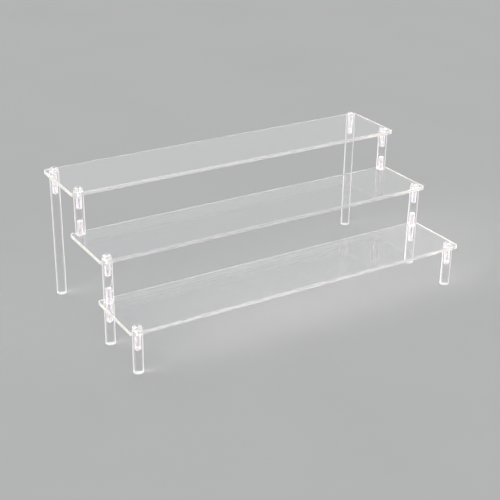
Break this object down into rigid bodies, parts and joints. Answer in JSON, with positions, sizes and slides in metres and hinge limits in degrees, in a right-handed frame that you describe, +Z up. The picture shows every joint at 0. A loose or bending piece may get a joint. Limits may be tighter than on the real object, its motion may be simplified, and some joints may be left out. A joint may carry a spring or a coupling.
{
  "type": "tiered shelf riser",
  "caption": "Clear acrylic display riser: stepped flat shelves on round screwed-together posts, for raising jars or bottles in rows on a counter.",
  "frame": {"origin": "on the floor, at the centre of the footprint", "axes": "+Z up, +X along the shelves to the right seen from the front, +Y towards the back, where the shelves are highest"},
  "size_m": [0.31, 0.1588, 0.1132],
  "materials": {
    "clear_sheet": "polished",
    "clear_rod": "polished",
    "clear_fastener": "satin"
  },
  "bodies": {
    "root": {"bottom_shelf": "clear_sheet", "middle_shelf": "clear_sheet", "top_shelf": "clear_sheet", "front_foot_left": "clear_rod", "front_foot_right": "clear_rod", "rear_foot_left": "clear_rod", "rear_foot_right": "clear_rod", "middle_post_left": "clear_rod", "middle_post_right": "clear_rod", "top_post_left": "clear_rod", "top_post_right": "clear_rod", "rear_leg_left": "clear_rod", "rear_leg_right": "clear_rod", "bottom_front_screw_left": "clear_fastener", "bottom_front_screw_right": "clear_fastener", "bottom_rear_stud_left": "clear_fastener", "bottom_rear_stud_right": "clear_fastener", "middle_front_screw_left": "clear_fastener", "middle_front_screw_right": "clear_fastener", "middle_rear_stud_left": "clear_fastener", "middle_rear_stud_right": "clear_fastener", "top_front_screw_left": "clear_fastener", "top_front_screw_right": "clear_fastener", "top_rear_screw_left": "clear_fastener", "top_rear_screw_right": "clear_fastener"}
  },
  "joints": []
}
